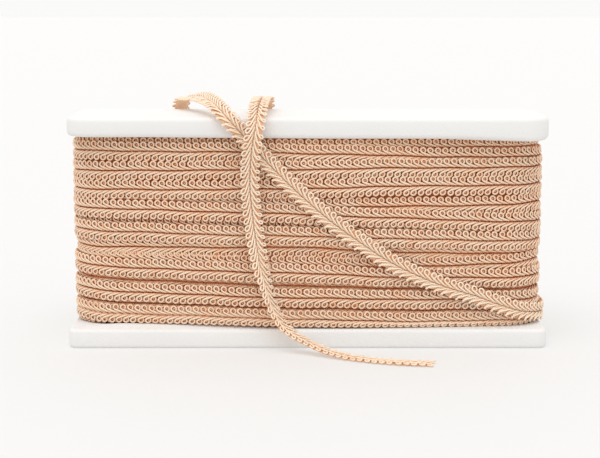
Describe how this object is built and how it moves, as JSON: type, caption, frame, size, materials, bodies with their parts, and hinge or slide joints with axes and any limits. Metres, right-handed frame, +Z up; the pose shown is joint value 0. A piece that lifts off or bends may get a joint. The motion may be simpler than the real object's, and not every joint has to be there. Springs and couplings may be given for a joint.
{
  "type": "loop-edged gimp trim wound on a flanged foam board",
  "caption": "Narrow loop-edged trim wound in rows on a flanged white board, with a loose run draped over the board and lying on the surface in front.",
  "frame": {"origin": "centre of the underside of the board's bottom flange, on the surface that the board stands on", "axes": "+X along the board's long side, to the right as seen from the front, +Y to the back, +Z up"},
  "size_m": [0.2525, 0.1218, 0.1314],
  "materials": {
    "foam_board": "smooth white foam with a soft sheen",
    "wound_yarn": "silky wrapped yarn in looped rows, peach with a rose tone in the hollows",
    "loose_yarn": "silky wrapped yarn, light peach"
  },
  "bodies": {
    "root": {"flange_bottom": "foam_board", "core_panel": "foam_board", "flange_top": "foam_board", "wound_trim": "wound_yarn", "loose_run": "loose_yarn"}
  },
  "joints": []
}
